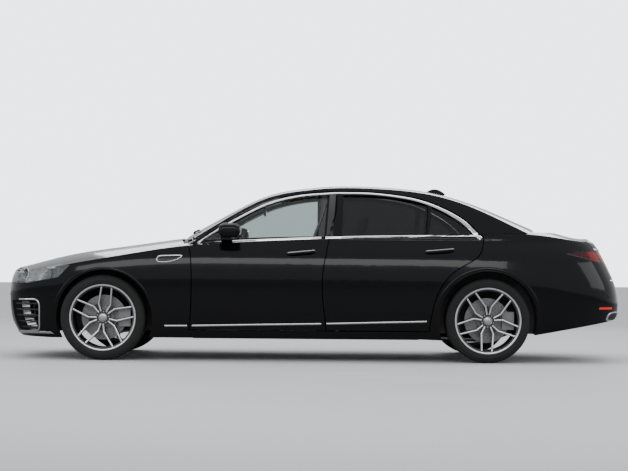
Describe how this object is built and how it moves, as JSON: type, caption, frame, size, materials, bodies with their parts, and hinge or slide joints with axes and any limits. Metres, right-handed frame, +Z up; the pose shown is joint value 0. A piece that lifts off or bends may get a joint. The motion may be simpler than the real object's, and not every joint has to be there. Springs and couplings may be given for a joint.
{
  "type": "luxury sedan",
  "caption": "Long-wheelbase four-door luxury sedan with opening doors, bonnet and boot lid, steered front wheels and a hollow cabin and boot",
  "frame": {"origin": "on the floor, at mid length and mid width", "axes": "+X points to the rear along the length, +Y to the car's right, +Z up"},
  "size_m": [5.2826, 2.108, 1.5034],
  "materials": {
    "body_paint": "deep gloss black paint",
    "trim_chrome": "bright",
    "glass_clear": "clear tinted glass",
    "glass_dark": "dark privacy glass",
    "tyre_rubber": "matt",
    "rim_metal": "machined faces and black pockets",
    "brake_steel": "turned",
    "caliper_metal": "silver",
    "axle_metal": "dark",
    "lamp_clear": "clear lens",
    "lamp_red": "red lens",
    "black_plastic": "grained",
    "underbody": "coated",
    "cabin_leather": "light beige, padded",
    "dash_leather": "black",
    "exhaust_steel": "brushed",
    "structure": "primed"
  },
  "bodies": {
    "body": {"body_sides": "body_paint", "bumper_beams": "axle_metal", "centre_console": "dash_leather", "cowl": "black_plastic", "dashboard": "dash_leather", "engine_bay": "underbody", "engine_block": "structure", "exhaust": "exhaust_steel", "fenders": "body_paint", "floor_pan": "underbody", "front_axle": "axle_metal", "front_bumper": "body_paint", "front_seats": "cabin_leather", "grille": "trim_chrome", "headlamps": "lamp_clear", "intake_louvres": "black_plastic", "pillars": "structure", "rear_axle": "axle_metal", "rear_bulkhead": "structure", "rear_bumper": "body_paint", "rear_knuckles": "caliper_metal", "rear_seats": "cabin_leather", "rear_window": "glass_dark", "roof_panel": "body_paint", "tail_lamps": "lamp_red", "wheel_liners": "black_plastic", "windscreen": "glass_clear"},
    "front_knuckle_left": {"front_knuckle_left": "caliper_metal"},
    "front_door_left": {"front_door_left": "body_paint", "front_door_glass_left": "glass_clear", "door_mirror_left": "body_paint"},
    "rear_door_left": {"rear_door_left": "body_paint", "rear_door_glass_left": "glass_dark"},
    "front_knuckle_right": {"front_knuckle_right": "caliper_metal"},
    "front_door_right": {"front_door_right": "body_paint", "front_door_glass_right": "glass_clear", "door_mirror_right": "body_paint"},
    "rear_door_right": {"rear_door_right": "body_paint", "rear_door_glass_right": "glass_dark"},
    "wheel_front_left": {"tyre_front_left": "tyre_rubber", "rim_front_left": "rim_metal", "brake_disc_front_left": "brake_steel"},
    "wheel_front_right": {"tyre_front_right": "tyre_rubber", "rim_front_right": "rim_metal", "brake_disc_front_right": "brake_steel"},
    "wheel_rear_left": {"tyre_rear_left": "tyre_rubber", "rim_rear_left": "rim_metal", "brake_disc_rear_left": "brake_steel"},
    "wheel_rear_right": {"tyre_rear_right": "tyre_rubber", "rim_rear_right": "rim_metal", "brake_disc_rear_right": "brake_steel"},
    "bonnet": {"bonnet": "body_paint"},
    "boot_lid": {"boot_lid": "body_paint", "tail_lamps_lid": "lamp_red"},
    "steering_wheel": {"steering_wheel": "dash_leather"}
  },
  "joints": [
    {"name": "steer_left", "type": "hinge", "parent": "body", "child": "front_knuckle_left", "pos_m": [-1.7645, -0.745, 0.356], "axis": [0, 0, 1], "range_deg": [-36, 36]},
    {"name": "roll_front_left", "type": "hinge", "parent": "front_knuckle_left", "child": "wheel_front_left", "pos_m": [-1.7645, -0.82, 0.356], "axis": [0, 1, 0], "continuous": true},
    {"name": "roll_rear_left", "type": "hinge", "parent": "body", "child": "wheel_rear_left", "pos_m": [1.4515, -0.816, 0.3522], "axis": [0, 1, 0], "continuous": true},
    {"name": "front_door_left_hinge", "type": "hinge", "parent": "body", "child": "front_door_left", "pos_m": [-1.0055, -0.962, 0.66], "axis": [0, 0, -1], "range_deg": [0, 70]},
    {"name": "rear_door_left_hinge", "type": "hinge", "parent": "body", "child": "rear_door_left", "pos_m": [0.117, -0.962, 0.66], "axis": [0, 0, -1], "range_deg": [0, 70]},
    {"name": "steer_right", "type": "hinge", "parent": "body", "child": "front_knuckle_right", "pos_m": [-1.7645, 0.745, 0.356], "axis": [0, 0, 1], "range_deg": [-36, 36]},
    {"name": "roll_front_right", "type": "hinge", "parent": "front_knuckle_right", "child": "wheel_front_right", "pos_m": [-1.7645, 0.82, 0.356], "axis": [0, 1, 0], "continuous": true},
    {"name": "roll_rear_right", "type": "hinge", "parent": "body", "child": "wheel_rear_right", "pos_m": [1.4515, 0.816, 0.3522], "axis": [0, 1, 0], "continuous": true},
    {"name": "front_door_right_hinge", "type": "hinge", "parent": "body", "child": "front_door_right", "pos_m": [-1.0055, 0.962, 0.66], "axis": [0, 0, 1], "range_deg": [0, 70]},
    {"name": "rear_door_right_hinge", "type": "hinge", "parent": "body", "child": "rear_door_right", "pos_m": [0.117, 0.962, 0.66], "axis": [0, 0, 1], "range_deg": [0, 70]},
    {"name": "steering_wheel_turn", "type": "hinge", "parent": "body", "child": "steering_wheel", "pos_m": [-0.5805, -0.37, 0.87], "axis": [0.9272, 0, 0.3746], "range_deg": [-504, 504]},
    {"name": "bonnet_hinge", "type": "hinge", "parent": "body", "child": "bonnet", "pos_m": [-1.1185, 0, 1.01], "axis": [0, 1, 0], "range_deg": [0, 52]},
    {"name": "boot_lid_hinge", "type": "hinge", "parent": "body", "child": "boot_lid", "pos_m": [1.7995, 0, 1.1], "axis": [0, -1, 0], "range_deg": [0, 78]}
  ],
  "couplings": [
    {"joint": "steer_right", "follows": "steer_left", "ratio": 1},
    {"joint": "steering_wheel_turn", "follows": "steer_left", "ratio": 14}
  ]
}
